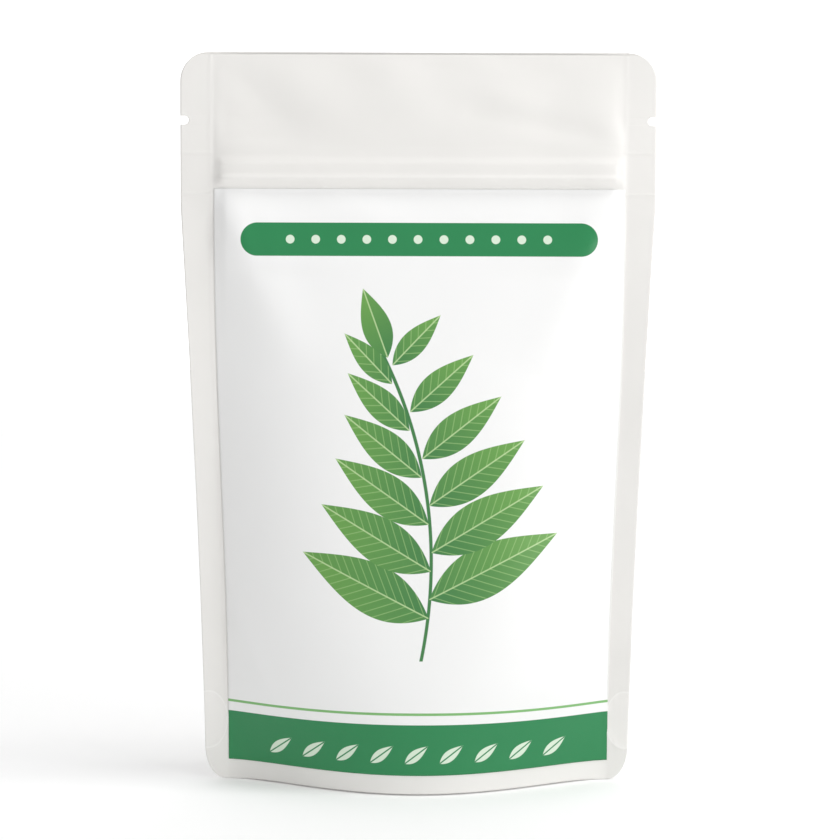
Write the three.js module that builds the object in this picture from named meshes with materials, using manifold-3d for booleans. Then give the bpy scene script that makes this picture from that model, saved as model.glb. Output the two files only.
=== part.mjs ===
import * as THREE from 'three';
import { mergeVertices } from 'three/addons/utils/BufferGeometryUtils.js';
import Module from 'manifold-3d';

// Outline of the filled pouch, in millimetres
const pouchHeight = 200;
const topHalfWidth = 65;
const baseHalfWidth = 58.4;
const taperHeight = 159;
const taperPower = 1.45;
const topCornerRadius = 8;
const baseCornerWidth = 5.5;
const baseCornerHeight = 9;

// Side seals: half the distance between their inner lines, low and high on the pouch
const sealWidth = 8.6;
const sealLineBase = 52.6;
const sealLineTop = 56.4;
const sealLineStart = 12;
const sealLineRise = 143;
const leanRise = 40;
const leanShare = 0.55;

// Films
const filmThickness = 0.5;
const layerGap = 0.3;

// Belly: half the depth of the filled part at its middle
const bellyDepth = 21.6;
const bellyFullHeight = 10;
const bellyEndHeight = 162;
const bellyPower = 1.5;
const bellyRoundness = 0.75;

// Section of the belly at one height: the power of its fall towards the side seals
const sectionPower = 2;
const sectionBellyGain = 1.2;
const sectionBellyRise = 90;
const sectionZipGain = 14;
const sectionZipStart = 138;
const sectionZipRise = 24;
const sectionFootGain = 0.6;
const sectionFootRise = 30;

// Ridge from each end of the zip down into the belly
const ridgeTop = new THREE.Vector2(58, 168);
const ridgeFoot = new THREE.Vector2(33, 112);
const ridgeWidth = 8.5;
const ridgeHeight = 1.7;
const ridgeEndPower = 0.8;
const ridgeSealFade = 0.15;

// Zip: height of its middle, and half the room that it takes between the films
const zipHeight = 168.5;
const zipHalfRoom = 1.2;
const zipRidgeStep = 2.05;
const zipRidgeHeight = 0.45;
const zipRidgeWidth = 1;
const zipRidgePower = 16;
const zipStripHeight = 10;
const zipStripThickness = 0.4;
const zipHalfLength = 46;

// Zip profile: half heights and depths of the arrow-headed rib and of the lips that hold it
const ribTipDepth = 0.45;
const ribTipHalf = 0.2;
const ribHeadDepth = 0.05;
const ribHeadHalf = 0.6;
const ribNeckHalf = 0.3;
const lipDepth = -0.3;
const lipOuterHalf = 1.3;
const lipHookDepth = -0.1;
const lipHookHalf = 0.55;
const lipInnerDepth = 0;
const lipInnerHalf = 0.85;

// Part above the zip
const headStart = 174.5;
const headPillow = 1.1;
const mouthHalfRoom = 0.25;

// Tear notches
const notchHeight = 181.4;
const notchDepth = 2.3;
const notchRadius = 1.15;
const notchReach = 3;
const notchSegments = 5;

// Bottom gusset: its welded rim climbs in a curve from the middle to the side seals
const rimHeightMiddle = 8;
const rimHeightSide = 35;
const rimPower = 2.2;
const gussetFlatHalfLength = 24;
const gussetPleatHalfLength = 52;
const gussetPleatHeight = 33;
const gussetFlatShare = 0.5;
const gussetPower = 1.6;
const gussetEnd = 0.8;

// Fold between the gusset's welded wall and its bed
const foldDrop = 0.8;
const foldInset = 0.4;
const bedInset = 1;
const bedDip = 0.4;
const bedDipPower = 8;
const smallestBend = 0.6;

// Label
const labelBottom = 5;
const labelTop = 163;
const labelThickness = 0.3;
const labelGap = 0.25;
const labelShare = 0.985;

// Powder
const fillHeight = 77;
const fillCrown = 4;
const powderHump = 1.5;
const powderClearance = 2.6;
const powderBedShare = 0.82;
const powderBedNear = 0.12;

// Share of half the film's width that lies between the seals
const bellyShare = 0.868;

// Columns and rows of the grids
const bellyColumns = 20;
const finColumns = 2;
const gussetColumnCount = 24;
const gussetWallRows = 3;
const bedSteps = 12;
const powderRows = 6;
const footHeight = 1.5;
const shoulderHeight = 135;
const lipHeight = 2;
const bellyRows = 14;
const shoulderRows = 6;
const zipRows = 11;
const headRows = 4;
const cornerRows = 3;
const lipRows = 2;

// Colours and roughness of the materials
const filmColor = 0xe8e7e3;
const stripColor = 0xf1f1ed;
const labelColor = 0xf7f7f5;
const powderColor = 0x9c8d68;
const filmRoughness = 0.45;
const stripRoughness = 0.35;
const labelRoughness = 0.4;
const powderRoughness = 0.95;

function clamp(value) {
  return Math.min(1, Math.max(0, value));
}

function smooth(value) {
  const t = clamp(value);
  return t * t * (3 - 2 * t);
}

// Half the width of the pouch before its corners are rounded
function fullHalfWidth(z) {
  const fall = 1 - clamp(z / taperHeight) ** taperPower;
  return topHalfWidth - (topHalfWidth - baseHalfWidth) * fall;
}

// Half the width with the corners: quarter ellipses at the base, quarter circles at the top
function edgeHalfWidth(z) {
  const low = clamp((baseCornerHeight - z) / baseCornerHeight);
  const high = clamp((z - pouchHeight + topCornerRadius) / topCornerRadius);
  const lowCut = baseCornerWidth * (1 - Math.sqrt(1 - low * low));
  const highCut = topCornerRadius * (1 - Math.sqrt(1 - high * high));
  return fullHalfWidth(z) - lowCut - highCut;
}

// Half the distance between the inner lines of the side seals
function sealHalfWidth(z) {
  const t = clamp((z - sealLineStart) / sealLineRise);
  return sealLineBase + (sealLineTop - sealLineBase) * (1 - Math.cos(Math.PI * t)) / 2;
}

// Forward slope of the fins: they lean where they look narrower than the seal is wide
function finSlope(z) {
  const shown = fullHalfWidth(z) - sealHalfWidth(z);
  const lean = Math.acos(clamp(shown / sealWidth));
  return Math.tan(leanShare * lean * smooth(z / leanRise));
}

// Half the room between the films at the middle of the pouch
function middleRoom(z) {
  const t = clamp((z - bellyFullHeight) / (bellyEndHeight - bellyFullHeight));
  const belly = bellyDepth * (1 - t ** bellyPower) ** bellyRoundness;
  const head = clamp((z - headStart) / (pouchHeight - headStart));
  const pillow = headPillow * Math.sin(Math.PI * head);
  const closed = zipHalfRoom + (mouthHalfRoom - zipHalfRoom) * head;
  return Math.hypot(belly, closed) + pillow;
}

// Raised lines that the zip presses into the films
function zipRidges(z) {
  const upper = (z - zipHeight - zipRidgeStep) / zipRidgeWidth;
  const lower = (z - zipHeight + zipRidgeStep) / zipRidgeWidth;
  return zipRidgeHeight * (Math.exp(-upper * upper) + Math.exp(-lower * lower));
}

// Lift of the film along the two corner ridges: a bell across each, fading out at both ends
function cornerRidge(x, z) {
  const run = ridgeFoot.clone().sub(ridgeTop);
  const from = new THREE.Vector2(Math.abs(x), z).sub(ridgeTop);
  const along = clamp(from.dot(run) / run.lengthSq());
  const across = from.cross(run) / run.length() / ridgeWidth;
  return ridgeHeight * Math.sin(Math.PI * along) ** ridgeEndPower * Math.exp(-across * across);
}

// Half the room between the films: full at the middle (share 0), none at the seal lines (share 1)
function roomAt(share, z) {
  const bellyGain = sectionBellyGain * smooth(z / sectionBellyRise);
  const zipGain = sectionZipGain * smooth((z - sectionZipStart) / sectionZipRise);
  const across = 1 - clamp(share) ** (sectionPower + bellyGain + zipGain);
  const taper = 1 + sectionFootGain * (1 - smooth(z / sectionFootRise));
  const ridge = zipRidges(z) * (1 - clamp(share) ** zipRidgePower);
  const corner = cornerRidge(share * sealHalfWidth(z), z) * smooth((1 - share) / ridgeSealFade);
  return middleRoom(z) * across ** taper + ridge + corner;
}

// Outer face of a film; u runs from one side edge (-1) to the other (1), side is -1 at the front
function outerFace(u, z, side) {
  const away = Math.abs(u);
  const seal = sealHalfWidth(z);
  const share = away / bellyShare;
  const fin = clamp((away - bellyShare) / (1 - bellyShare));
  const x = seal * Math.min(share, 1) + (edgeHalfWidth(z) - seal) * fin;
  const lean = -finSlope(z) * Math.max(0, x - seal);
  const room = share < 1 ? roomAt(share, z) : 0;
  const y = side * (layerGap / 2 + filmThickness + room) + lean;
  return new THREE.Vector2(Math.sign(u) * x, y);
}

// Point at the given depth inside the outer face, measured square to the section at that height
function filmPoint(u, z, depth, side) {
  const step = 0.01;
  const here = outerFace(u, z, side);
  const before = outerFace(Math.max(-1, u - step), z, side);
  const after = outerFace(Math.min(1, u + step), z, side);
  const along = after.sub(before).normalize();
  const x = here.x + depth * side * along.y;
  const y = here.y - depth * side * along.x;
  return new THREE.Vector3(x, y, z);
}

// Positions across the whole film
function filmColumns() {
  const columns = [];
  for (let i = -finColumns; i <= bellyColumns + finColumns; i += 1) {
    const inBelly = Math.min(Math.max(i, 0), bellyColumns);
    const beyond = (i - inBelly) / finColumns;
    columns.push(bellyShare * (2 * inBelly / bellyColumns - 1) + (1 - bellyShare) * beyond);
  }
  return columns;
}

// Evenly spaced heights from one level to the next, without the first
function stepsTo(rows, end, count) {
  const start = rows[rows.length - 1];
  for (let i = 1; i <= count; i += 1) {
    rows.push(start + (end - start) * i / count);
  }
}

// Heights of the film's rows: close at the corners and at the zip, wide over the belly
function filmRows() {
  const rows = [0];
  stepsTo(rows, footHeight, 1);
  stepsTo(rows, labelBottom, 1);
  stepsTo(rows, baseCornerHeight, 1);
  stepsTo(rows, shoulderHeight, bellyRows);
  stepsTo(rows, labelTop, shoulderRows);
  stepsTo(rows, headStart, zipRows);
  stepsTo(rows, pouchHeight - topCornerRadius, headRows);
  stepsTo(rows, pouchHeight - lipHeight, cornerRows);
  stepsTo(rows, pouchHeight, lipRows);
  return rows;
}

// Mesh from points and triangles, turned so that its faces look outwards
function closedGeometry(points, triangles) {
  let volume = 0;
  for (const [a, b, c] of triangles) {
    volume += points[a].clone().cross(points[b]).dot(points[c]);
  }
  const index = triangles.flatMap(([a, b, c]) => (volume > 0 ? [a, b, c] : [a, c, b]));
  const geometry = new THREE.BufferGeometry().setFromPoints(points);
  geometry.setIndex(index);
  return geometry;
}

// Solid sheet between two grids of points with the same rows and columns
function sheetSolid(faceA, faceB) {
  const rows = faceA.length;
  const columns = faceA[0].length;
  const points = [...faceA.flat(), ...faceB.flat()];
  const a = (i, j) => i * columns + j;
  const b = (i, j) => rows * columns + i * columns + j;
  const triangles = [];
  for (let i = 0; i < rows - 1; i += 1) {
    for (let j = 0; j < columns - 1; j += 1) {
      triangles.push([a(i, j), a(i, j + 1), a(i + 1, j)]);
      triangles.push([a(i + 1, j), a(i, j + 1), a(i + 1, j + 1)]);
      triangles.push([b(i, j), b(i + 1, j), b(i, j + 1)]);
      triangles.push([b(i + 1, j), b(i + 1, j + 1), b(i, j + 1)]);
    }
  }
  for (let j = 0; j < columns - 1; j += 1) {
    triangles.push([a(0, j), b(0, j), a(0, j + 1)]);
    triangles.push([b(0, j), b(0, j + 1), a(0, j + 1)]);
    triangles.push([a(rows - 1, j), a(rows - 1, j + 1), b(rows - 1, j)]);
    triangles.push([b(rows - 1, j), a(rows - 1, j + 1), b(rows - 1, j + 1)]);
  }
  for (let i = 0; i < rows - 1; i += 1) {
    triangles.push([a(i, 0), a(i + 1, 0), b(i, 0)]);
    triangles.push([b(i, 0), a(i + 1, 0), b(i + 1, 0)]);
    triangles.push([a(i, columns - 1), b(i, columns - 1), a(i + 1, columns - 1)]);
    triangles.push([b(i, columns - 1), b(i + 1, columns - 1), a(i + 1, columns - 1)]);
  }
  return closedGeometry(points, triangles);
}

// Triangles that close an outline; its points are numbered from start in the whole mesh
function capTriangles(outline, start, atEnd) {
  const flat = outline.map((p) => new THREE.Vector2(p.y, p.z));
  const keep = atEnd === THREE.ShapeUtils.isClockWise(flat);
  const faces = THREE.ShapeUtils.triangulateShape(flat, []);
  const turned = faces.map(([p, q, r]) => (keep ? [p, q, r] : [p, r, q]));
  return turned.map((face) => face.map((index) => index + start));
}

// Solid through a row of closed outlines with the same number of points
function loftSolid(outlines) {
  const count = outlines[0].length;
  const points = outlines.flat();
  const triangles = [];
  for (let i = 0; i < outlines.length - 1; i += 1) {
    for (let j = 0; j < count; j += 1) {
      const next = (j + 1) % count;
      const low = i * count;
      const high = low + count;
      triangles.push([low + j, high + j, low + next]);
      triangles.push([low + next, high + j, high + next]);
    }
  }
  const last = outlines.length - 1;
  triangles.push(...capTriangles(outlines[0], 0, false));
  triangles.push(...capTriangles(outlines[last], last * count, true));
  return closedGeometry(points, triangles);
}

// One film of the pouch
function filmGeometry(side) {
  const rows = filmRows();
  const columns = filmColumns();
  const outer = rows.map((z) => columns.map((u) => filmPoint(u, z, 0, side)));
  const inner = rows.map((z) => columns.map((u) => filmPoint(u, z, filmThickness, side)));
  return sheetSolid(outer, inner);
}

// Round-ended slot through both films at a side edge
function notchGeometry(sign) {
  const end = sign * (topHalfWidth - notchDepth + notchRadius);
  const options = { depth: 2 * notchReach, bevelEnabled: false, curveSegments: notchSegments };
  const shape = new THREE.Shape();
  shape.moveTo(sign * (topHalfWidth + notchReach), notchHeight + notchRadius);
  shape.lineTo(end, notchHeight + notchRadius);
  shape.absarc(end, notchHeight, notchRadius, Math.PI / 2, -Math.PI / 2, sign > 0);
  shape.lineTo(sign * (topHalfWidth + notchReach), notchHeight - notchRadius);
  const geometry = new THREE.ExtrudeGeometry(shape, options);
  geometry.translate(0, 0, -notchReach);
  geometry.rotateX(Math.PI / 2);
  return geometry;
}

// Solid for cutting, from a mesh with its shared corners joined
function toManifold(wasm, geometry) {
  const bare = geometry.clone();
  bare.deleteAttribute('normal');
  bare.deleteAttribute('uv');
  const welded = mergeVertices(bare, 1e-4);
  const mesh = new wasm.Mesh({
    numProp: 3,
    vertProperties: new Float32Array(welded.attributes.position.array),
    triVerts: new Uint32Array(welded.index.array),
  });
  return new wasm.Manifold(mesh);
}

// Mesh of a cut solid
function fromManifold(solid) {
  const mesh = solid.getMesh();
  const geometry = new THREE.BufferGeometry();
  const points = new Float32Array(mesh.vertProperties);
  geometry.setAttribute('position', new THREE.BufferAttribute(points, 3));
  geometry.setIndex(new THREE.BufferAttribute(new Uint32Array(mesh.triVerts), 1));
  return geometry;
}

// Film with its two tear notches cut out
function notchedFilm(wasm, side) {
  let solid = toManifold(wasm, filmGeometry(side));
  for (const sign of [-1, 1]) {
    solid = solid.subtract(toManifold(wasm, notchGeometry(sign)));
  }
  return fromManifold(solid);
}

// Top of the gusset's welded rim
function rimTop(x) {
  const climb = clamp(Math.abs(x) / sealLineTop) ** rimPower;
  return rimHeightMiddle + (rimHeightSide - rimHeightMiddle) * climb;
}

// Underside of the gusset: flat on the floor in the middle, rising to the rims and the end pleats
function gussetHeight(x, share) {
  const pleatRun = gussetPleatHalfLength - gussetFlatHalfLength;
  const middle = gussetPleatHeight * smooth((Math.abs(x) - gussetFlatHalfLength) / pleatRun);
  const climb = clamp((Math.abs(share) - gussetFlatShare) / (1 - gussetFlatShare)) ** gussetPower;
  return middle + (rimTop(x) - middle) * climb;
}

// Underside of the gusset at one column, from the front rim over the fold to the back rim
function gussetPath(u) {
  const inset = 2 * filmThickness + layerGap;
  const x = outerFace(u, rimHeightMiddle, -1).x;
  const top = rimTop(x);
  const wall = [];
  for (let i = 0; i <= gussetWallRows; i += 1) {
    wall.push(filmPoint(u, (top - foldDrop) * i / gussetWallRows, inset, -1));
  }
  const corner = filmPoint(u, top, inset, -1);
  const fold = new THREE.Vector3(corner.x, corner.y + foldInset, top);
  const half = -corner.y - bedInset;
  const bed = [];
  for (let i = 0; i <= bedSteps; i += 1) {
    const share = 2 * i / bedSteps - 1;
    const height = gussetHeight(x, share) - bedDip * share ** bedDipPower;
    bed.push(new THREE.Vector3(corner.x, half * share, height));
  }
  const front = [...wall, fold];
  const back = front.map((p) => new THREE.Vector3(p.x, -p.y, p.z)).reverse();
  return [...front, ...bed, ...back];
}

// Copy of a path in the YZ plane, moved square to itself towards its left; its ends keep their height
function offsetPath(path, amount) {
  return path.map((p, i) => {
    const before = path[Math.max(0, i - 1)];
    const after = path[Math.min(path.length - 1, i + 1)];
    const first = new THREE.Vector2(p.y - before.y, p.z - before.z).normalize();
    const second = new THREE.Vector2(after.y - p.y, after.z - p.z).normalize();
    const along = first.add(second).normalize();
    const bend = Math.max(smallestBend, Math.abs(along.dot(second)) || 1);
    const ends = i === 0 || i === path.length - 1;
    const lift = ends ? 0 : amount * along.x / bend;
    return new THREE.Vector3(p.x, p.y - amount * along.y / bend, p.z + lift);
  });
}

// Positions across the gusset and the powder
function gussetColumns() {
  const columns = [];
  for (let i = 0; i <= gussetColumnCount; i += 1) {
    columns.push(gussetEnd * (2 * i / gussetColumnCount - 1));
  }
  return columns;
}

// Folded film that closes the foot of the pouch
function gussetGeometry() {
  const under = gussetColumns().map((u) => gussetPath(u));
  const upper = under.map((path) => offsetPath(path, filmThickness));
  return sheetSolid(under, upper);
}

// Underside of the powder: clear of the gusset below it
function powderBed(x, share) {
  const around = [share - powderBedNear, share, share + powderBedNear];
  return Math.max(...around.map((s) => gussetHeight(x, s))) + powderClearance;
}

// Outline of the powder at one column: over the gusset, up the back film and down the front film
function powderOutline(u) {
  const inset = filmThickness + layerGap;
  const corner = filmPoint(u, rimTop(outerFace(u, rimHeightMiddle, -1).x), inset, -1);
  const low = Math.max(rimTop(corner.x), powderBed(corner.x, 0)) + powderClearance;
  const level = fillHeight + fillCrown * (1 - (u / gussetEnd) ** 2);
  const half = -corner.y - bedInset;
  const bed = [];
  for (let i = 0; i <= bedSteps; i += 1) {
    const share = powderBedShare * (2 * i / bedSteps - 1);
    bed.push(new THREE.Vector3(corner.x, half * share, powderBed(corner.x, share)));
  }
  const front = [];
  for (let i = 0; i <= powderRows; i += 1) {
    front.push(filmPoint(u, low + (level - low) * i / powderRows, inset, -1));
  }
  const back = front.map((p) => new THREE.Vector3(p.x, -p.y, p.z));
  const edge = back[powderRows];
  const top = [];
  for (let i = 1; i < powderRows; i += 1) {
    const share = 1 - 2 * i / powderRows;
    top.push(new THREE.Vector3(edge.x, edge.y * share, level + powderHump * (1 - share * share)));
  }
  return [...bed, ...back, ...top, ...front.reverse()];
}

// Powder that fills the lower part of the belly
function powderGeometry() {
  return loftSolid(gussetColumns().map((u) => powderOutline(u)));
}

// Label that wraps the front between the side seals
function labelGeometry() {
  const rows = filmRows().filter((z) => z >= labelBottom && z <= labelTop);
  const columns = filmColumns().slice(finColumns, finColumns + bellyColumns + 1);
  const face = (lift) => rows.map((z) => columns.map((u) => filmPoint(u * labelShare, z, -lift, -1)));
  return sheetSolid(face(labelGap + labelThickness), face(labelGap));
}

// Bar along X with a section mirrored about the zip's middle: depths and heights of its upper half
function zipBar(upper) {
  const lower = upper.map(([y, z]) => [y, -z]).reverse();
  const section = [...upper, ...lower].map(([y, z]) => new THREE.Vector2(y, zipHeight + z));
  const options = { depth: 2 * zipHalfLength, bevelEnabled: false };
  const geometry = new THREE.ExtrudeGeometry(new THREE.Shape(section), options);
  const acrossAxis = new THREE.Vector3(1, 0, 0);
  const depthAxis = new THREE.Vector3(0, 1, 0);
  const upAxis = new THREE.Vector3(0, 0, 1);
  geometry.translate(0, 0, -zipHalfLength);
  geometry.applyMatrix4(new THREE.Matrix4().makeBasis(depthAxis, upAxis, acrossAxis));
  return geometry;
}

// Strip with an arrow-headed rib, welded to the front film
function zipRibGeometry() {
  const back = -zipHalfRoom + layerGap / 2;
  const face = back + zipStripThickness;
  const head = [[ribTipDepth, ribTipHalf], [ribHeadDepth, ribHeadHalf], [ribHeadDepth, ribNeckHalf]];
  const strip = [[face, ribNeckHalf], [face, zipStripHeight / 2], [back, zipStripHeight / 2]];
  return zipBar([...head, ...strip]);
}

// Strip with two hooked lips round the rib, welded to the back film
function zipGrooveGeometry() {
  const back = zipHalfRoom - layerGap / 2;
  const face = back - zipStripThickness;
  const bed = [[face, lipInnerHalf], [lipInnerDepth, lipInnerHalf]];
  const hook = [[lipHookDepth, lipHookHalf], [lipDepth, lipHookHalf], [lipDepth, lipOuterHalf]];
  const strip = [[face, lipOuterHalf], [face, zipStripHeight / 2], [back, zipStripHeight / 2]];
  return zipBar([...bed, ...hook, ...strip]);
}

// Named mesh with its material
function node(name, geometry, color, roughness) {
  const flat = geometry.index ? geometry.toNonIndexed() : geometry;
  flat.computeVertexNormals();
  const material = new THREE.MeshStandardMaterial({ color, roughness, metalness: 0 });
  const mesh = new THREE.Mesh(flat, material);
  mesh.name = name;
  return mesh;
}

const wasm = await Module();
wasm.setup();

const pouch = new THREE.Group();
pouch.name = 'stand_up_pouch';
pouch.add(node('front_panel', notchedFilm(wasm, -1), filmColor, filmRoughness));
pouch.add(node('back_panel', notchedFilm(wasm, 1), filmColor, filmRoughness));
pouch.add(node('bottom_gusset', gussetGeometry(), filmColor, filmRoughness));
pouch.add(node('zip_rib_strip', zipRibGeometry(), stripColor, stripRoughness));
pouch.add(node('zip_groove_strip', zipGrooveGeometry(), stripColor, stripRoughness));
pouch.add(node('front_label', labelGeometry(), labelColor, labelRoughness));
pouch.add(node('powder_fill', powderGeometry(), powderColor, powderRoughness));

export default pouch;
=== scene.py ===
import bpy
import math
import numpy as np
from mathutils import Matrix, Vector


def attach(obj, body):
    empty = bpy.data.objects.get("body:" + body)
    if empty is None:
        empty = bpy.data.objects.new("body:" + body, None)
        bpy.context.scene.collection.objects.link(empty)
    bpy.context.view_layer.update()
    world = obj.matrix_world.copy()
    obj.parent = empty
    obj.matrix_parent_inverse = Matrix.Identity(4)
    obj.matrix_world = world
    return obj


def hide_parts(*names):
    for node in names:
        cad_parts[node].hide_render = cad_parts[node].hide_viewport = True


# Stand-up zip pouch. Its shapes are worked out in millimetres and put in the meshes in metres:
# x runs to the right, z up from the floor, and y from the front film to the back film
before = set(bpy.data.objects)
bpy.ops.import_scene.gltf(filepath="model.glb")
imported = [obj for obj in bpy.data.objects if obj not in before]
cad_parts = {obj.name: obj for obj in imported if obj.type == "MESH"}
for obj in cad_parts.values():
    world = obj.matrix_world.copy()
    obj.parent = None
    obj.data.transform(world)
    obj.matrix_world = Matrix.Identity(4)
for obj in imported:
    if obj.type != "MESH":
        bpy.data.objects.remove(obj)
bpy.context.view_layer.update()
mm = 0.001

# outline, tear notches, side seals and belly: the same driving dimensions as the solids have
pouch = {"height": 200.0, "topHalf": 65.0, "baseHalf": 58.4, "taperHeight": 159.0, "taperPower": 1.45,
         "topCorner": 8.0, "baseCornerX": 5.5, "baseCornerZ": 9.0,
         "notchZ": 181.4, "notchDepth": 2.3, "notchRadius": 1.15,
         "sealWidth": 8.6, "sealShift": 0.4, "sealBase": 52.6, "sealTop": 56.4,
         "sealLow": 12, "sealHigh": 155, "finLean": 0.22, "finLeanHeight": 40,
         "belly": 21.95, "bellyLow": 10, "bellyHigh": 162, "bellyPower": 1.5, "bellyRoundness": 0.75,
         "headLow": 174.5, "headPillow": 0.65, "topRoom": 0.25}


# soft step from 0 to 1: three times t squared less twice t cubed, with t clipped
def smooth(v):
    t = np.clip(v, 0, 1)
    return t * t * (3 - 2 * t)


# sum of soft steps along z, each (rise, where it starts, how far it runs, downwards if less than 0)
def stepsAlong(z, steps):
    return sum(rise * smooth((z - start) / run) for rise, start, run in steps)


# bell curve of height 1: e to the power of minus the squared distance, counted in widths
def bell(v, middle, width):
    return np.exp(-((v - middle) / width) ** 2)


# half width without the corners: from the base's to the top's by a power of the height
def fullHalf(z):
    fall = 1 - np.clip(z / pouch["taperHeight"], 0, 1) ** pouch["taperPower"]
    return pouch["topHalf"] - (pouch["topHalf"] - pouch["baseHalf"]) * fall


# half width less the elliptic corners and less the tear notch, which is a slot with a round end
def edgeHalf(z):
    low = np.clip((pouch["baseCornerZ"] - z) / pouch["baseCornerZ"], 0, 1)
    high = np.clip((z - pouch["height"] + pouch["topCorner"]) / pouch["topCorner"], 0, 1)
    lowCorner = pouch["baseCornerX"] * (1 - np.sqrt(1 - low ** 2))
    highCorner = pouch["topCorner"] * (1 - np.sqrt(1 - high ** 2))
    radius = pouch["notchRadius"]
    away = np.abs(z - pouch["notchZ"])
    roundEnd = np.sqrt(np.maximum(radius * radius - away * away, 0))
    slot = np.where(away < radius, pouch["notchDepth"] - radius + roundEnd, 0)
    return fullHalf(z) - lowCorner - highCorner - slot


# half distance between the inner lines of the side seals: half a cosine wave from base to top
def sealHalf(z):
    t = np.clip((z - pouch["sealLow"]) / (pouch["sealHigh"] - pouch["sealLow"]), 0, 1)
    return pouch["sealBase"] + (pouch["sealTop"] - pouch["sealBase"]) * (1 - np.cos(np.pi * t)) / 2


# forward slope of a fin: tangent of a share of the angle whose cosine is the fin's seen to real width
def finSlope(z):
    lean = np.arccos(np.clip((fullHalf(z) - sealHalf(z)) / pouch["sealWidth"], 0, 1))
    return np.tan(pouch["finLean"] * lean * smooth(z / pouch["finLeanHeight"]))


# zip pressed through the film: soft steps from the top down, each (rise, where it starts, how far it runs)
zipForm = {"halfRoom": 1.35, "stripLow": 161.5, "stripHigh": 172.6, "endShare": 0.955, "endFade": 0.04,
           "steps": [(0.9, 172.1, -2.9), (-0.14, 169.2, -2.2), (0.55, 167.1, -1.5), (-1.31, 165.8, -2.9),
                     (-0.5, 165.2, -2.2), (0.5, 162.4, -8)]}


# half the room between the films at the middle: the belly, which closes by a power of the height, and the
# zip's room, which narrows to the top edge, joined as the two short sides of a right triangle; over the
# zip half a sine wave comes on top as a low pillow
def middleRoom(z):
    t = np.clip((z - pouch["bellyLow"]) / (pouch["bellyHigh"] - pouch["bellyLow"]), 0, 1)
    belly = pouch["belly"] * (1 - t ** pouch["bellyPower"]) ** pouch["bellyRoundness"]
    head = np.clip((z - pouch["headLow"]) / (pouch["height"] - pouch["headLow"]), 0, 1)
    zipRoom = zipForm["halfRoom"] * (1 - head) + pouch["topRoom"] * head
    return np.hypot(belly, zipRoom) + pouch["headPillow"] * np.sin(np.pi * head)


# form pressed by the zip: the sum of its soft steps, faded out before the side seals
def zipRidges(share, z):
    fade = 1 - smooth((np.abs(share) - zipForm["endShare"]) / zipForm["endFade"])
    return stepsAlong(z, zipForm["steps"]) * fade


# how flat the room between the films is across the pouch: the arch's power, and the changes to it with
# height, each given as (change, where it starts, how far it runs)
arch = {"power": 2, "changes": [(1.2, 0, 90), (14, 138, 24), (-11, 175, 8)],
        "baseTaper": 0.6, "taperHeight": 30}


# half the room across the pouch: the middle's times 1 less a power of the share of the half width,
# all of it to a second power that lets the ends come in gently at the base
def roomAt(share, z):
    s = np.clip(np.abs(share), 0, 1)
    power = arch["power"] + stepsAlong(z, arch["changes"])
    taper = 1 + arch["baseTaper"] * (1 - smooth(z / arch["taperHeight"]))
    return middleRoom(z) * (1 - s ** power) ** taper


# straight soft fold: a bell across the line from (ax, az) to (bx, bz), times a power of a sine along it
def fold(x, z, ax, az, bx, bz, width, height):
    lx, lz = bx - ax, bz - az
    size = math.hypot(lx, lz)
    along = ((x - ax) * lx + (z - az) * lz) / size ** 2
    off = ((x - ax) * lz - (z - az) * lx) / size
    fadePower = 0.8
    fade = np.sin(np.pi * np.clip(along, 0, 1)) ** fadePower
    return height * fade * bell(off, 0, width)


# slow waves of a film: sum of sines of x and z, whose pitches (radians per mm, slowest and fastest given)
# and places come from a fixed seed
def waves(x, z, seed, pitches, count):
    rng = np.random.default_rng(seed)
    total = np.zeros_like(x)
    for i in range(count):
        pitchX, pitchZ = rng.uniform(*pitches, 2)
        turn = rng.uniform(0, 2 * np.pi)
        tilt = rng.choice([-1, 1])
        total = total + np.sin(pitchX * x + tilt * pitchZ * z + turn) / count ** 0.5
    return total


# small forms of the front film. A fold is (start x, start z, end x, end z, width, height outwards),
# and a dent over the zip is (x, its width, z, its width, height outwards)
frontForm = {"folds": [(-58, 168, -33, 112, 8.5, 1.9), (58, 168, 33, 112, 8.5, 1.5),
                       (-47, 160, -40, 136, 2.6, -0.3), (50, 158, 49, 136, 2.6, -0.25),
                       (-53, 52, -38, 22, 2.4, 0.45), (53, 60, 42, 26, 3.0, 0.35),
                       (-30, 163, 6, 146, 5.0, 0.35), (38, 163, 2, 142, 6.0, 0.3)],
             "headFolds": [(12, 184, 56, 177, 3.2, -0.9), (-54, 196, -30, 178, 3.6, -0.35),
                           (4, 192, 34, 184, 4.0, 0.45)],
             "headDents": [(-43, 10, 181, 8, -1.0), (52, 4.5, 179, 5, 0.35), (-8, 12, 184, 8, 0.6)],
             "headWaves": 0.14, "rippleSeed": 11}

# small forms of the back film, in the same way
backForm = {"folds": [(-58, 168, -33, 112, 8.5, 1.6), (58, 168, 33, 112, 8.5, 1.8),
                      (48, 163, 40, 126, 3.4, -0.7), (-53, 50, -38, 24, 2.6, 0.4)],
            "headFolds": [],
            "headDents": [(28, 12, 184, 8, 0.7), (-38, 8, 183, 7, -0.7)],
            "headWaves": 0.0, "rippleSeed": 12}

# stretch over the zip that has dents: where it starts and ends, how far each end fades, and its waves
headStretch = {"low": 173, "lowFade": 4, "high": 195, "highFade": 5,
               "waveSeed": 41, "wavePitches": (0.10, 0.28), "waveCount": 6}


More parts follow.
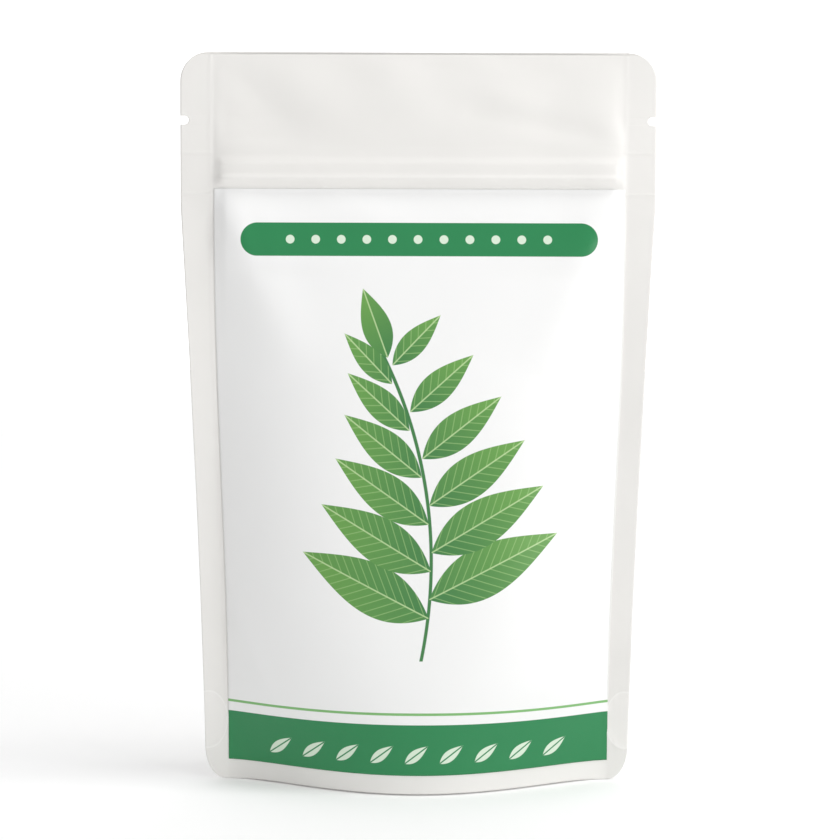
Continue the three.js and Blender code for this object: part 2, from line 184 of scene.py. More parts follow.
# small forms outwards: the folds, and over the zip also the folds, dents and waves of the head
def smallForms(x, z, form):
    folds = sum(fold(x, z, *row) for row in form["folds"])
    head = smooth((z - headStretch["low"]) / headStretch["lowFade"])
    head = head * (1 - smooth((z - headStretch["high"]) / headStretch["highFade"]))
    dents = sum(height * bell(x, dentX, wideX) * bell(z, dentZ, wideZ)
                for dentX, wideX, dentZ, wideZ, height in form["headDents"])
    dents = dents + sum(fold(x, z, *row) for row in form["headFolds"])
    slow = waves(x, z, headStretch["waveSeed"], headStretch["wavePitches"], headStretch["waveCount"])
    return folds + head * (dents + form["headWaves"] * slow)


# pressed marks in the fins: the flattened zip ends, the half-moon welds and the line along each seal
press = {"zipEnd": 0.14, "zipEndWidth": 0.35, "zipFlat": 0.05, "zipFlatFade": 0.4, "finFade": 0.6,
         "moonX": 57.6, "moonZ": 16.5, "moonHalfX": 5.2, "moonHalfZ": 7.9,
         "moonRim": 0.16, "moonRimWidth": 0.05, "moonDip": 0.12, "moonDipFrom": 0.88, "moonDipFade": 0.1,
         "sealLine": 0.10, "sealLineAway": 0.35, "sealLineWidth": 0.4, "sealLineLow": 24, "sealLineFade": 6}


# height of the pressed marks: bells at the zip's ends, along the seal and on the half-moon's ellipse, and
# soft steps down inside the zip's stretch and inside the half-moon
def pressedMarks(x, z):
    away = np.abs(x)
    low, high = zipForm["stripLow"], zipForm["stripHigh"]
    inFin = smooth((away - sealHalf(z)) / press["finFade"])
    ends = press["zipEnd"] * (bell(z, low, press["zipEndWidth"]) + bell(z, high, press["zipEndWidth"]))
    inZip = smooth((z - low) / press["zipFlatFade"]) * (1 - smooth((z - high) / press["zipFlatFade"]))
    ring = np.hypot((away - press["moonX"]) / press["moonHalfX"], (z - press["moonZ"]) / press["moonHalfZ"])
    moon = press["moonRim"] * bell(ring, 1.0, press["moonRimWidth"])
    moon = moon - press["moonDip"] * (1 - smooth((ring - press["moonDipFrom"]) / press["moonDipFade"]))
    line = press["sealLine"] * bell(away, sealHalf(z) + press["sealLineAway"], press["sealLineWidth"])
    line = line * smooth((z - press["sealLineLow"]) / press["sealLineFade"])
    return inFin * (ends - press["zipFlat"] * inZip) + moon + line


# a film: its thickness, half the gap in a weld, the share of its width that isn't fin, how much lower the
# front one's top edge is, its ripples and where they calm down, and the tuck of its bottom edge
film = {"thick": 0.2, "seam": 0.03, "bellyShare": 0.868, "frontLower": 0.7,
        "ripple": 0.10, "ripplePitches": (0.05, 0.16), "rippleCount": 6,
        "calmRipple": 0.4, "calmFrom": 160, "calmOver": 20, "calmShare": 0.07, "calmHeight": 14,
        "finRipple": 0.16, "finPitches": (0.06, 0.2), "finCount": 4, "finSeed": 21, "finStretch": 0.4,
        "tuck": 1.1, "tuckHeight": 0.55, "tuckShare": 0.25}


# outer face of a film at a share u of its width, side -1 for the front and 1 for the back: x follows the
# seal's line and then the edge; y is the room, the zip, the small forms, the tuck and the fin's lean
def outerFace(u, z, side, detail=True):
    away = np.abs(u)
    share = away / film["bellyShare"]
    fin = np.clip((away - film["bellyShare"]) / (1 - film["bellyShare"]), 0, 1)
    seal = sealHalf(z) + pouch["sealShift"] * np.sign(u)
    x = np.sign(u) * (seal * np.minimum(share, 1) + (edgeHalf(z) - seal) * fin)
    room = np.where(share < 1, roomAt(share, z), 0)
    lean = -finSlope(z) * np.maximum(0, np.abs(x) - seal)
    out = film["seam"] + film["thick"] + room
    if detail:
        form = frontForm if side < 0 else backForm
        calm = smooth(np.clip((1 - share) / film["calmShare"], 0, 1)) * smooth(z / film["calmHeight"])
        loose = smooth((film["calmFrom"] - z) / film["calmOver"])
        ripple = film["ripple"] * waves(x, z, form["rippleSeed"], film["ripplePitches"], film["rippleCount"])
        ripple = ripple * (film["calmRipple"] + (1 - film["calmRipple"]) * loose)
        out = out + zipRidges(share, z) + calm * (smallForms(x, z, form) + ripple) + pressedMarks(x, z)
        inward = 1 - smooth(z / film["tuckHeight"])
        out = out - film["tuck"] * inward * smooth((1 - share) / film["tuckShare"])
        flutter = waves(x * film["finStretch"], z, film["finSeed"], film["finPitches"], film["finCount"])
        lean = lean + film["finRipple"] * flutter * fin
    return x, side * out + lean


# points at a depth below the outer face, square to the section at each height: the face's point moved
# along the normal of the line between its two neighbours
def filmPoints(u, z, depth, side):
    reach = 0.004
    x, y = outerFace(u, z, side)
    leftX, leftY = outerFace(np.maximum(u - reach, -1), z, side)
    rightX, rightY = outerFace(np.minimum(u + reach, 1), z, side)
    alongX, alongY = rightX - leftX, rightY - leftY
    size = np.maximum(np.hypot(alongX, alongY), 1e-9)
    return np.stack([x + depth * side * alongY / size, y - depth * side * alongX / size, z], axis=-1)


# list of values: runs of even steps, each given as (its end, number of steps)
def runs(start, *parts):
    values = [start]
    for end, count in parts:
        values += list(np.linspace(values[-1], end, count + 1)[1:])
    return np.array(values)


# values from -1 to 1 that stand closer towards both ends: the sine of even angles over the last one's
def closerAtEnds(count, turn):
    return np.sin(np.linspace(-1, 1, count) * turn) / math.sin(turn)


# six times the volume inside four-sided faces: for both triangles of each, the box product of its corners
def boxSum(points, faces):
    a, b, c, d = (points[faces[:, i]] for i in range(4))
    return (np.cross(a, b) * c + np.cross(a, c) * d).sum()


# smooth-shaded object from points in millimetres; its faces turn round if their volume is less than 0
def makeMesh(name, points, faces, uv):
    places = points * mm
    if boxSum(places, faces) < 0:
        faces = faces[:, ::-1]
    mesh = bpy.data.meshes.new(name)
    mesh.from_pydata(places.tolist(), [], faces.tolist())
    if uv is not None:
        layer = mesh.uv_layers.new(name="art")
        corners = np.empty(len(mesh.loops), dtype=np.int32)
        mesh.loops.foreach_get("vertex_index", corners)
        layer.data.foreach_set("uv", uv[corners].ravel())
    mesh.polygons.foreach_set("use_smooth", [True] * len(mesh.polygons))
    mesh.update()
    obj = bpy.data.objects.new(name, mesh)
    bpy.context.scene.collection.objects.link(obj)
    return obj


# faces of a grid of point numbers: each cell's four corners in turn
def gridFaces(index):
    return np.stack([index[:-1, :-1], index[:-1, 1:], index[1:, 1:], index[1:, :-1]], -1).reshape(-1, 4)


# closed sheet between two grids of the same size: their faces, and a rim of faces all the way round
def sheet(name, faceA, faceB, uv=None):
    rows, cols = faceA.shape[:2]
    index = np.arange(rows * cols).reshape(rows, cols)
    other = index + rows * cols
    loop = np.concatenate([index[0, :], index[1:, -1], index[-1, -2::-1], index[-2:0:-1, 0]])
    after = np.roll(loop, -1)
    rim = np.stack([loop, loop + rows * cols, after + rows * cols, after], -1)
    faces = np.concatenate([gridFaces(index), gridFaces(other)[:, ::-1], rim])
    points = np.concatenate([faceA.reshape(-1, 3), faceB.reshape(-1, 3)])
    bothUv = None if uv is None else np.concatenate([uv.reshape(-1, 2)] * 2)
    return makeMesh(name, points, faces, bothUv)


# rows and columns of the films: fine at the corners, the zip and the notches, and in the fins; a run is
# (its end, number of steps), and the notch's rows stand on its round end and just beside its mouth
filmGrid = {"lowRuns": [(0.6, 5), (10, 23), (150, 96), (159, 9), (175, 62), (179.9, 7)],
            "highStart": 182.9, "highRuns": [(192, 12), (198, 14), (200, 14)],
            "notchRows": 15, "besideNotch": [1.02, -1.02, 0.998, -0.998],
            "bellyColumns": 105, "columnTurn": 1.25, "finColumns": 19, "loweredFrom": 185}
aroundNotch = np.append(np.cos(np.linspace(0, np.pi, filmGrid["notchRows"])), filmGrid["besideNotch"])
filmRows = np.unique(np.concatenate([
    runs(0, *filmGrid["lowRuns"]),
    pouch["notchZ"] + pouch["notchRadius"] * aroundNotch,
    runs(filmGrid["highStart"], *filmGrid["highRuns"])]).round(4))
bellyColumns = film["bellyShare"] * closerAtEnds(filmGrid["bellyColumns"], filmGrid["columnTurn"])
finColumns = film["bellyShare"] + (1 - film["bellyShare"]) * np.linspace(0, 1, filmGrid["finColumns"])[1:]
filmColumns = np.concatenate([-finColumns[::-1], bellyColumns, finColumns])


# one film: the sheet between its outer face and its inner one, with its top edge lowered by a soft step
def makeFilm(name, side, lowered):
    down = smooth((filmRows - filmGrid["loweredFrom"]) / (pouch["height"] - filmGrid["loweredFrom"]))
    u, z = np.meshgrid(filmColumns, filmRows - lowered * down)
    return sheet(name, filmPoints(u, z, 0, side), filmPoints(u, z, film["thick"], side))


frontFilm = makeFilm("frontFilm", -1, film["frontLower"])
backFilm = makeFilm("backFilm", 1, 0.0)
print("films done", len(frontFilm.data.polygons), len(backFilm.data.polygons))

# label: lies on the front film, and carries its own flat coordinates, 0 to 1 over artSpan millimetres
labelForm = {"low": 5.4, "high": 162.85, "share": 0.996, "lift": 0.03, "thick": 0.14, "endRow": 0.2,
             "artSpan": 200.0}


# label: the sheet between two faces over the front film's, on the film's own rows and columns
def makeLabel():
    low, high = labelForm["low"], labelForm["high"]
    inside = filmRows[(filmRows > low + labelForm["endRow"]) & (filmRows < high - labelForm["endRow"])]
    u, z = np.meshgrid(bellyColumns * labelForm["share"], np.concatenate([[low], inside, [high]]))
    span = labelForm["artSpan"]
    uv = np.stack([(u * pouch["topHalf"] + span / 2) / span, z / span], -1)
    face = filmPoints(u, z, -labelForm["lift"] - labelForm["thick"], -1)
    return sheet("frontLabel", face, filmPoints(u, z, -labelForm["lift"], -1), uv)


frontLabel = makeLabel()
print("label done", len(frontLabel.data.polygons))

# gusset: a welded rim on both films and a folded bed between them, with a pleat at each end
gussetForm = {"thick": 0.3, "share": 0.996, "columns": 121, "columnTurn": 1.35, "rimRows": 10, "bedRows": 49,
              "rimMiddle": 8.0, "rimRise": 27, "rimPower": 2.2, "rimLow": 0.5, "behindFilm": 0.02,
              "flatHalf": 24, "pleatRun": 28, "pleatHeight": 33, "climbFrom": 0.5, "climbPower": 1.6,
              "bedGap": 0.4, "leastHalf": 0.01, "bedThick": 0.48, "bedEdge": 0.3, "edgePower": 8,
              "outPower": 4, "crumple": 0.25, "crumpleSeed": 31, "crumplePitches": (0.1, 0.4),
              "crumpleCount": 5, "crumpleFade": 3}


# height of the gusset's welded rim: its middle's, plus a power of the distance to the middle
def rimTop(x):
    outwards = np.clip(np.abs(x) / pouch["sealTop"], 0, 1)
    return gussetForm["rimMiddle"] + gussetForm["rimRise"] * outwards ** gussetForm["rimPower"]


# height of the bed: flat in the middle, a soft step up to the pleat at both ends, and by a power of the
# share of its depth up to the rims
def bedHeight(x, share):
    pleat = smooth((np.abs(x) - gussetForm["flatHalf"]) / gussetForm["pleatRun"])
    middle = gussetForm["pleatHeight"] * pleat
    climb = np.clip((np.abs(share) - gussetForm["climbFrom"]) / (1 - gussetForm["climbFrom"]), 0, 1)
    return middle + (rimTop(x) - middle) * climb ** gussetForm["climbPower"]


# gusset: at each column its two faces go up the front rim, over the bed and down the back rim, which is
# the front one mirrored
def makeGusset():
    thick, behind = gussetForm["thick"], gussetForm["behindFilm"]
    u = closerAtEnds(gussetForm["columns"], gussetForm["columnTurn"])
    u = u * film["bellyShare"] * gussetForm["share"]
    x, _ = outerFace(u, np.full_like(u, gussetForm["rimMiddle"]), -1, False)
    z = np.linspace(0, 1, gussetForm["rimRows"])[:, None] * (rimTop(x) - gussetForm["rimLow"])[None, :]
    wallU = np.broadcast_to(u, z.shape)
    outerWall = filmPoints(wallU, z, film["thick"] + behind, -1)
    innerWall = filmPoints(wallU, z, film["thick"] + behind + thick, -1)
    # where the films close, both faces stay in front of the middle, one behind the other
    innerWall[..., 1] = np.minimum(innerWall[..., 1], -behind)
    outerWall[..., 1] = np.minimum(outerWall[..., 1], innerWall[..., 1] - behind)
    rim = innerWall[-1]
    share = np.linspace(-1, 1, gussetForm["bedRows"])[:, None]
    bedY = share * np.maximum(-rim[:, 1] - gussetForm["bedGap"], gussetForm["leastHalf"])[None, :]
    bedZ = bedHeight(x[None, :], share) - gussetForm["bedEdge"] * np.abs(share) ** gussetForm["edgePower"]
    bedX = np.broadcast_to(x, bedY.shape)
    crumple = waves(bedX, bedY, gussetForm["crumpleSeed"], gussetForm["crumplePitches"],
                    gussetForm["crumpleCount"])
    bedZ = bedZ + gussetForm["crumple"] * crumple * smooth(bedZ / gussetForm["crumpleFade"])
    under = np.stack([np.broadcast_to(rim[:, 0], bedY.shape), bedY, bedZ], -1)
    over = under.copy()
    over[..., 1] += np.sign(share) * gussetForm["bedEdge"] * np.abs(share) ** gussetForm["outPower"]
    over[..., 2] += gussetForm["bedThick"]
    mirror = np.array([1, -1, 1])
    lower = np.concatenate([innerWall, under, (innerWall * mirror)[::-1]])
    upper = np.concatenate([outerWall, over, (outerWall * mirror)[::-1]])
    return sheet("gusset", lower, upper)


gusset = makeGusset()
print("gusset done", len(gusset.data.polygons))


# a socket in a material: each operator adds its Math node, before a number or after one
class Shade:
    def __init__(self, tree, socket=None):
        self.tree, self.socket = tree, socket

    # value or link for a node's socket; a colour's three numbers get their alpha here
    def put(self, holder, key, value):
        target = holder.inputs[key]
        if isinstance(value, Shade):
            self.tree.links.new(value.socket, target)
        elif target.type == "RGBA":
            target.default_value = (*value, 1)
        else:
            target.default_value = value

    # any node: its settings are set first, then its sockets; gives the outputs that are asked for
    def node(self, kind, settings, sockets, *outputs):
        made = self.tree.nodes.new("ShaderNode" + kind)
        for name, value in settings.items():
            setattr(made, name, value)
        for key, value in sockets.items():
            self.put(made, key, value)
        found = [Shade(self.tree, made.outputs[key]) for key in outputs or (0,)]
        return found if len(found) > 1 else found[0]

    def maths(self, operation, first, *rest):
        return self.node("Math", {"operation": operation}, dict(enumerate((first, *rest))))

    def __add__(self, other):
        return self.maths("ADD", self, other)

    def __sub__(self, other):
        return self.maths("SUBTRACT", self, other)

    def __rsub__(self, other):
        return self.maths("SUBTRACT", other, self)

    def __mul__(self, other):
        return self.maths("MULTIPLY", self, other)

    def __truediv__(self, other):
        return self.maths("DIVIDE", self, other)

    __radd__ = __add__
    __rmul__ = __mul__

    def __abs__(self):
        return self.maths("ABSOLUTE", self)

    def fraction(self):
        return self.maths("FRACT", self)

    def root(self):
        return self.maths("SQRT", self)

    def atMost(self, other):
        return self.maths("MINIMUM", self, other)

    def atLeast(self, other):
        return self.maths("MAXIMUM", self, other)

    # 0 up to nought, rising evenly to 1 at the given width
    def edge(self, width):
        return self.node("Clamp", {}, {0: self / width})

    # colour between two, by this factor
    def mix(self, colourA, colourB):
        return self.node("Mix", {"data_type": "RGBA"}, {0: self, 6: colourA, 7: colourB}, 2)


# distance from a point: root of the sum of the squares
def distance(dx, dz):
    return (dx * dx + dz * dz).root()


# a material with its Principled shader, whose even values go straight on its sockets; gives the material,
# the shader, and a Shade from which its nodes are made
def newMaterial(name, sockets):
    mat = bpy.data.materials.new(name)
    mat.use_nodes = True
    shader = mat.node_tree.nodes["Principled BSDF"]
    maker = Shade(mat.node_tree)
    for key, value in sockets.items():
        maker.put(shader, key, value)
    return mat, shader, maker


# noise at the piece's own coordinates, drawn out by a scale for each axis where one is given
def noise(maker, scale, detail, stretch=None):
    place = maker.node("TexCoord", {}, {}, "Object")
    if stretch:
        place = maker.node("Mapping", {}, {"Vector": place, "Scale": stretch})
    return maker.node("TexNoise", {}, {"Vector": place, "Scale": scale, "Detail": detail})


# bump on a shader from a height value, with its depth in metres
def addBump(maker, shader, height, strength, depth):
    bump = maker.node("Bump", {}, {"Strength": strength, "Distance": depth, "Height": height})
    maker.put(shader, "Normal", bump)


# film: white, evenness of its tone and gloss, its creases and grain, and the paler half-moon welds
filmFinish = {"white": (0.807, 0.793, 0.768), "gussetWhite": (0.76, 0.755, 0.735),
              "zipWhite": (0.82, 0.82, 0.80), "roughness": 0.40, "gussetRoughness": 0.42,
              "zipRoughness": 0.32, "specular": 0.45,
              "glossRange": 0.10, "darker": 0.975, "darkerFrom": 0.35, "darkerOver": 0.3,
              "creaseScale": 26, "creaseShare": 0.7, "grainScale": 160, "grainStretch": (1, 1, 0.5),
              "grainShare": 0.3, "bump": 0.35, "bumpDepth": 0.0004,
              "moonTone": (0.86, 0.84, 0.82), "moonRimTone": (0.94, 0.93, 0.91), "moonShare": 0.4,
              "moonEdge": 0.05, "moonRimHalf": 0.045, "moonRimEdge": 0.03}


# tone inside the half-moon welds and on their rims, from the distance to the ellipse's middle
def moonTones(maker, tone):
    placeX, placeZ = maker.node("SeparateXYZ", {}, {0: maker.node("TexCoord", {}, {}, "Object")}, "X", "Z")
    ring = distance((abs(placeX) - press["moonX"] * mm) / (press["moonHalfX"] * mm),
                    (placeZ - press["moonZ"] * mm) / (press["moonHalfZ"] * mm))
    inside = (1.0 - ring).edge(filmFinish["moonEdge"]) * filmFinish["moonShare"]
    onRim = (filmFinish["moonRimHalf"] - abs(ring - 1.0)).edge(filmFinish["moonRimEdge"])
    onRim = onRim * filmFinish["moonShare"]
    return onRim.mix(inside.mix(tone, filmFinish["moonTone"]), filmFinish["moonRimTone"])


# satin film: creases and grain in the bump, and a slightly uneven gloss and tone from the same noise
def filmMaterial(name, white, roughness, moons=False):
    mat, shader, maker = newMaterial(name, {
        "Base Color": white, "Roughness": roughness, "Specular IOR Level": filmFinish["specular"]})
    creases = noise(maker, filmFinish["creaseScale"], 4)
    grain = noise(maker, filmFinish["grainScale"], 3, filmFinish["grainStretch"])
    height = creases * filmFinish["creaseShare"] + grain * filmFinish["grainShare"]
    addBump(maker, shader, height, filmFinish["bump"], filmFinish["bumpDepth"])
    gloss = creases * filmFinish["glossRange"] + (roughness - filmFinish["glossRange"] / 2)
    maker.put(shader, "Roughness", gloss)
    uneven = (creases - filmFinish["darkerFrom"]).edge(filmFinish["darkerOver"])
    tone = uneven.mix(white, tuple(part * filmFinish["darker"] for part in white))
    maker.put(shader, "Base Color", moonTones(maker, tone) if moons else tone)
    return mat


# label: its inks, with the shares in which the thin ones cover, and the sizes of the design in millimetres
# from the middle of the label's width and up from the floor; a leaf's own form is in leafForm
inks = {"paper": (0.86, 0.86, 0.855), "green": (0.015, 0.218, 0.072), "pale": (0.78, 0.88, 0.74),
        "line": (0.20, 0.46, 0.16), "leafDark": (0.045, 0.195, 0.056), "leafPale": (0.135, 0.335, 0.070),
        "vein": (0.36, 0.58, 0.22), "rib": (0.50, 0.68, 0.34),
        "veinCover": 0.45, "ribCover": 0.8, "paleCover": 0.85, "edge": 0.1, "roundEdge": 0.12}
leafForm = {"fullness": 1.35, "lessAtTip": 0.7, "leastFullness": 0.1, "ribHalf": 0.24, "ribEdge": 0.12,
            "veinHalf": 0.09, "veinEdge": 0.05, "veinSlant": 1.1, "veinPitch": 2.9,
            "palerAtTip": 0.9, "palerSide": 0.25}
spray = {"arcX": -118.0, "arcZ": 62.0, "arcRadius": 122.0, "stemHalf": 0.55, "stemEdge": 0.15,
         "stemLow": 36.0, "stemHigh": 118.0, "stemEndEdge": 0.2,
         "pairs": 6, "firstLeaf": 50, "leafStep": 12.5, "leafLength": 40, "shorter": 4.2,
         "leafWidth": 0.17, "stagger": 2.5, "leafTurn": 1.12, "lessTurn": 0.07,
         "tipX": -8.2, "tipZ": 117.0, "tipTurn": 0.35, "tipLength": 20, "tipWidth": 3.9}
bar = {"z": 149.0, "half": 44.0, "radius": 4.6, "dotStep": 7.0, "dotRadius": 1.25, "dotsHalf": 40.0}
band = {"top": 19.1, "lineZ": 21.9, "lineHalf": 0.4, "leafStep": 10.0, "leafX": 1.6, "leafZ": 8.6,
        "leafTurn": 0.62, "leafLength": 8.4, "leafWidth": 1.5, "leavesHalf": 46.0}
labelFinish = {"roughness": 0.34, "glossRange": 0.08, "specular": 0.45, "creaseScale": 30,
               "creaseShare": 0.8, "grainScale": 700, "grainShare": 0.06, "bump": 0.3, "bumpDepth": 0.0004}


# one leaf from its base along an angle: its half width is a bow from base to tip, n times 1 less n, fuller
# towards the base. Gives the blade, the midrib, the veins, which side of the midrib, and n
def leaf(p, q, baseX, baseZ, angle, length, width):
    turnX, turnZ = math.cos(angle), math.sin(angle)
    dx, dz = p - baseX, q - baseZ
    along = dx * turnX + dz * turnZ
    across = dz * turnX - dx * turnZ
    n = along / length
    fullness = (leafForm["fullness"] - leafForm["lessAtTip"] * n).atLeast(leafForm["leastFullness"])
    half = n * (1.0 - n) * fullness * (4 * width)
    blade = (half - abs(across)).edge(inks["edge"])
    rib = (leafForm["ribHalf"] - abs(across)).edge(leafForm["ribEdge"]) * blade
    slant = (along - abs(across) * leafForm["veinSlant"]) / leafForm["veinPitch"]
    veins = (leafForm["veinHalf"] - abs(slant.fraction() - 0.5)).edge(leafForm["veinEdge"]) * blade
    return blade, rib, veins, across.edge(inks["edge"]), n


# green of a leaf: the mix of its two greens by a sum, paler towards the tip and on one side
def leafTone(n, oneSide):
    paler = (n * leafForm["palerAtTip"] + oneSide * leafForm["palerSide"]).atMost(1.0)
    return paler.mix(inks["leafDark"], inks["leafPale"])


# leaf spray: the stem is a band round a wide arc between two heights, with leaves in pairs up the stem,
# shorter and steeper towards the tip, and one leaf at the tip
def paintSpray(p, q, colour):
    offArc = abs(distance(p - spray["arcX"], q - spray["arcZ"]) - spray["arcRadius"])
    stem = (spray["stemHalf"] - offArc).edge(spray["stemEdge"])
    stem = stem * (q - spray["stemLow"]).edge(spray["stemEndEdge"])
    stem = stem * (spray["stemHigh"] - q).edge(spray["stemEndEdge"])
    colour = stem.mix(colour, inks["leafDark"])
    for i in range(spray["pairs"]):
        z = spray["firstLeaf"] + spray["leafStep"] * i
        x = spray["arcX"] + math.sqrt(spray["arcRadius"] ** 2 - (z - spray["arcZ"]) ** 2)
        length = spray["leafLength"] - spray["shorter"] * i
        for side in (1, -1):
            angle = math.pi / 2 - side * (spray["leafTurn"] - spray["lessTurn"] * i)
            start = z + side * spray["stagger"]
            blade, rib, veins, oneSide, n = leaf(p, q, x, start, angle, length, length * spray["leafWidth"])
            tone = (veins * inks["veinCover"]).mix(leafTone(n, oneSide), inks["vein"])
            colour = blade.mix(colour, (rib * inks["ribCover"]).mix(tone, inks["rib"]))
    blade, rib, _, oneSide, n = leaf(p, q, spray["tipX"], spray["tipZ"], math.pi / 2 + spray["tipTurn"],
                                     spray["tipLength"], spray["tipWidth"])
    return blade.mix(colour, (rib * inks["ribCover"]).mix(leafTone(n, oneSide), inks["rib"]))


# bar near the top: all points within its radius of a level line, with a round pale dot at each step
def paintBar(p, q, colour):
    up = q - bar["z"]
    away = distance((abs(p) - bar["half"]).atLeast(0.0), up)
    colour = (bar["radius"] - away).edge(inks["roundEdge"]).mix(colour, inks["green"])
    step = bar["dotStep"]
    inStep = ((p + step / 2) / step).fraction() * step - step / 2
    dots = (bar["dotRadius"] - distance(inStep, up)).edge(inks["roundEdge"])
    dots = dots * (bar["dotsHalf"] - abs(p)).edge(inks["edge"])
    return (dots * inks["paleCover"]).mix(colour, inks["pale"])


# band along the base, with a thin line above it and a row of slanted small leaves in it
def paintBand(p, q, colour):
    line = (band["lineHalf"] - abs(q - band["lineZ"])).edge(inks["edge"])
    colour = line.mix(colour, inks["line"])
    colour = (band["top"] - q).edge(inks["edge"]).mix(colour, inks["green"])
    step = band["leafStep"]
    inStep = ((p + step / 2) / step).fraction() * step
    blade, rib = leaf(inStep, q, band["leafX"], band["leafZ"], band["leafTurn"], band["leafLength"],
                      band["leafWidth"])[:2]
    leaves = blade * (1.0 - rib) * (band["leavesHalf"] - abs(p)).edge(inks["edge"])
    return (leaves * inks["paleCover"]).mix(colour, inks["pale"])


# label paper: the design on the label's own coordinates, and a soft gloss
def labelMaterial():
    mat, shader, maker = newMaterial("labelPaper", {
        "Base Color": inks["paper"], "Roughness": labelFinish["roughness"],
        "Specular IOR Level": labelFinish["specular"]})
    flat = maker.node("UVMap", {"uv_map": "art"}, {})
    flatX, flatZ = maker.node("SeparateXYZ", {}, {0: flat}, "X", "Y")
    p = flatX * labelForm["artSpan"] - labelForm["artSpan"] / 2
    q = flatZ * labelForm["artSpan"]
    colour = paintBand(p, q, paintBar(p, q, paintSpray(p, q, inks["paper"])))
    maker.put(shader, "Base Color", colour)
    creases = noise(maker, labelFinish["creaseScale"], 3)
    grain = noise(maker, labelFinish["grainScale"], 2)
    height = creases * labelFinish["creaseShare"] + grain * labelFinish["grainShare"]
    addBump(maker, shader, height, labelFinish["bump"], labelFinish["bumpDepth"])
    gloss = creases * labelFinish["glossRange"] + (labelFinish["roughness"] - labelFinish["glossRange"] / 2)
    maker.put(shader, "Roughness", gloss)
    return mat


# powder: a dry grainy surface, paler and darker from grain to grain
powder = {"mean": (0.30, 0.24, 0.12), "pale": (0.36, 0.30, 0.16), "dark": (0.22, 0.17, 0.08),
          "roughness": 0.95, "grainScale": 1800, "clumpScale": 90, "bump": 0.6, "bumpDepth": 0.0008}


# powder's finish: the tone follows the fine noise, the bump half of it and half of the clumps
def powderMaterial():
    mat, shader, maker = newMaterial("powder", {
        "Base Color": powder["mean"], "Roughness": powder["roughness"]})
    grain = noise(maker, powder["grainScale"], 5)
    clumps = noise(maker, powder["clumpScale"], 4)
    addBump(maker, shader, grain * 0.5 + clumps * 0.5, powder["bump"], powder["bumpDepth"])
    maker.put(shader, "Base Color", grain.edge(1.0).mix(powder["pale"], powder["dark"]))
    return mat


outside = filmMaterial("film", filmFinish["white"], filmFinish["roughness"], True)
gussetFilm = filmMaterial("gussetFilm", filmFinish["gussetWhite"], filmFinish["gussetRoughness"])
zipPlastic = filmMaterial("zipPlastic", filmFinish["zipWhite"], filmFinish["zipRoughness"])
for obj, mat in ((frontFilm, outside), (backFilm, outside), (gusset, gussetFilm),
                 (frontLabel, labelMaterial())):
    obj.data.materials.append(mat)
for node, mat in (("zip_rib_strip", zipPlastic), ("zip_groove_strip", zipPlastic),
                  ("powder_fill", powderMaterial())):
    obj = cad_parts[node]
    obj.data.materials.clear()
    obj.data.materials.append(mat)
for obj, node, slotName in ((frontFilm, "front_panel", "film"), (backFilm, "back_panel", "film"),
                            (gusset, "bottom_gusset", "film"), (frontLabel, "front_label", "label")):
    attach(obj, "root")
    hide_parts(node)
print("materials done")

# floor and backdrop in metres: wide white sheets, and the floor's glow from near to far, which is painted
# light, kept weak near the pouch as painted shade round its base
studio = {"floorX": 6, "floorFront": -4, "floorBack": 12, "floorDrop": 0.0001,
          "floorWhite": (0.93, 0.93, 0.93), "floorRoughness": 0.8, "floorSpecular": 0.1, "floorGlow": 0.20,
          "glowNear": (0.33, 0.33, 0.33), "glowFar": (1, 1, 1), "glowFrom": 0.12, "glowOver": 0.5,
          "wallX": 4, "wallY": 3, "wallLow": -0.2, "wallHigh": 4,
          "wallWhite": (0.9, 0.9, 0.9), "wallRoughness": 0.9, "wallGlow": 0.75, "surround": 0.535}


# one flat four-sided sheet
def stageSheet(name, corners, mat):
    mesh = bpy.data.meshes.new(name)
    mesh.from_pydata(corners, [], [(0, 1, 2, 3)])
    mesh.materials.append(mat)
    obj = bpy.data.objects.new(name, mesh)
    bpy.context.scene.collection.objects.link(obj)
    return obj


# white floor with painted light: its glow grows with the distance from the pouch, so the floor next to the
# pouch stays darker as painted shade
def floorMaterial():
    mat, shader, maker = newMaterial("floorWhite", {
        "Base Color": studio["floorWhite"], "Roughness": studio["floorRoughness"],
        "Specular IOR Level": studio["floorSpecular"], "Emission Strength": studio["floorGlow"]})
    placeX, placeY = maker.node("SeparateXYZ", {}, {0: maker.node("TexCoord", {}, {}, "Object")}, "X", "Y")
    # painted shade near the pouch and painted light further off: the glow's colour runs from glowNear to
    # glowFar
    far = (distance(placeX, placeY) - studio["glowFrom"]).edge(studio["glowOver"])
    maker.put(shader, "Emission Color", far.mix(studio["glowNear"], studio["glowFar"]))
    return mat


# white backdrop with an even glow
def backdropMaterial():
    mat, _, _ = newMaterial("backdropWhite", {
        "Base Color": studio["wallWhite"], "Roughness": studio["wallRoughness"],
        "Emission Color": (1, 1, 1), "Emission Strength": studio["wallGlow"]})
    return mat


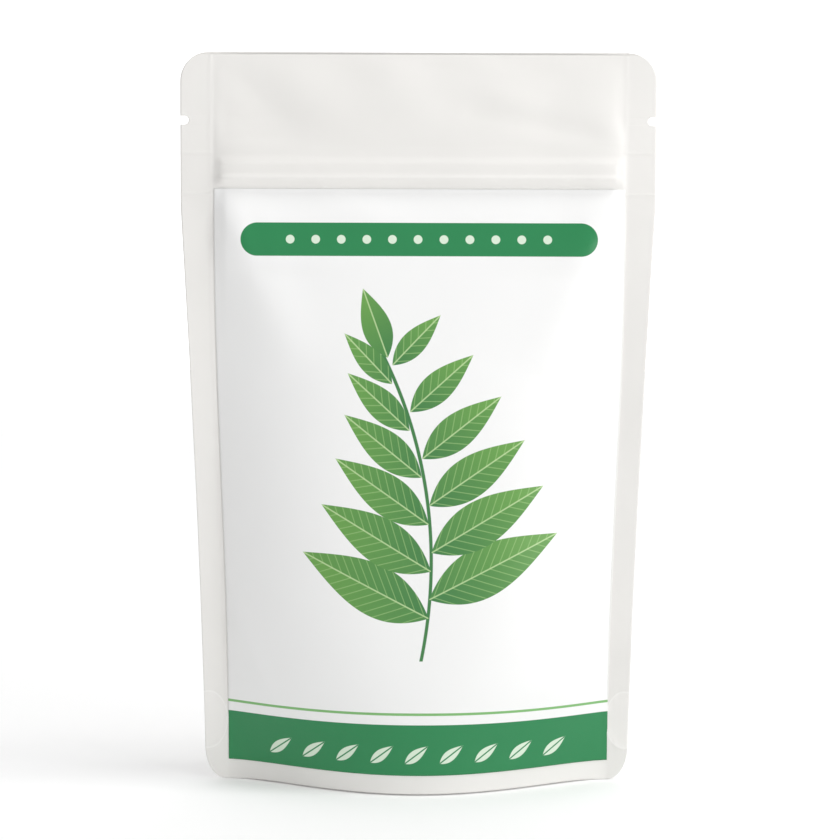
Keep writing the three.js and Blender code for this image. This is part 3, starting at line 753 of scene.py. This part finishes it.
x, front, back = studio["floorX"], studio["floorFront"], studio["floorBack"]
floor = stageSheet("floor", [(-x, front, 0), (x, front, 0), (x, back, 0), (-x, back, 0)], floorMaterial())
floor.location.z = -studio["floorDrop"]
x, y, low, high = studio["wallX"], studio["wallY"], studio["wallLow"], studio["wallHigh"]
wall = stageSheet("backdrop", [(-x, y, low), (x, y, low), (x, y, high), (-x, y, high)], backdropMaterial())

world = bpy.data.worlds.new("studio")
bpy.context.scene.world = world
world.use_nodes = True
surround = world.node_tree.nodes["Background"]
surround.inputs["Color"].default_value = (1, 1, 1, 1)
surround.inputs["Strength"].default_value = studio["surround"]

# soft lights: each has its place, the point it looks at, its size, all in metres, and its watts
lights = {"side": ((0.62, -0.17, 1.15), (0, 0, 0.09), (0.4, 0.5), 5.0),
          "key": ((0.92, -0.8, 0.3), (0, 0, 0.09), (0.45, 0.45), 3.8),
          "top": ((0.1, -0.45, 1.2), (0, 0, 0.1), (0.5, 0.4), 1.45),
          "fill": ((0.0, -1.2, 0.5), (0, 0, 0.09), (0.8, 0.8), 0.5)}


# area light that looks at a point
def areaLight(name, place, aim, size, watts):
    data = bpy.data.lights.new(name, "AREA")
    data.shape = "RECTANGLE"
    data.size, data.size_y = size
    data.energy = watts
    lamp = bpy.data.objects.new(name, data)
    lamp.location = place
    lamp.rotation_euler = (Vector(aim) - Vector(place)).to_track_quat("-Z", "Y").to_euler()
    bpy.context.scene.collection.objects.link(lamp)


for name, values in lights.items():
    areaLight(name, *values)

# camera at the photo's viewing angle, worked out from the pouch's edges; roll in degrees
view = {"place": (0.0007, -0.635, 0.137), "aim": (0.0007, 0, 0.0996), "roll": 0.19,
        "lens": 99.1, "sensor": 36, "nearest": 0.02, "farthest": 60}
camData = bpy.data.cameras.new("camera")
camData.lens = view["lens"]
camData.sensor_width = view["sensor"]
camData.clip_start, camData.clip_end = view["nearest"], view["farthest"]
camera = bpy.data.objects.new("camera", camData)
place, aim = Vector(view["place"]), Vector(view["aim"])
look = (aim - place).to_track_quat("-Z", "Y").to_matrix().to_4x4()
camera.matrix_world = Matrix.Translation(place) @ look @ Matrix.Rotation(math.radians(view["roll"]), 4, "Z")
bpy.context.scene.collection.objects.link(camera)
bpy.context.scene.camera = camera
bpy.context.scene.view_settings.view_transform = "Standard"
print("stage done")
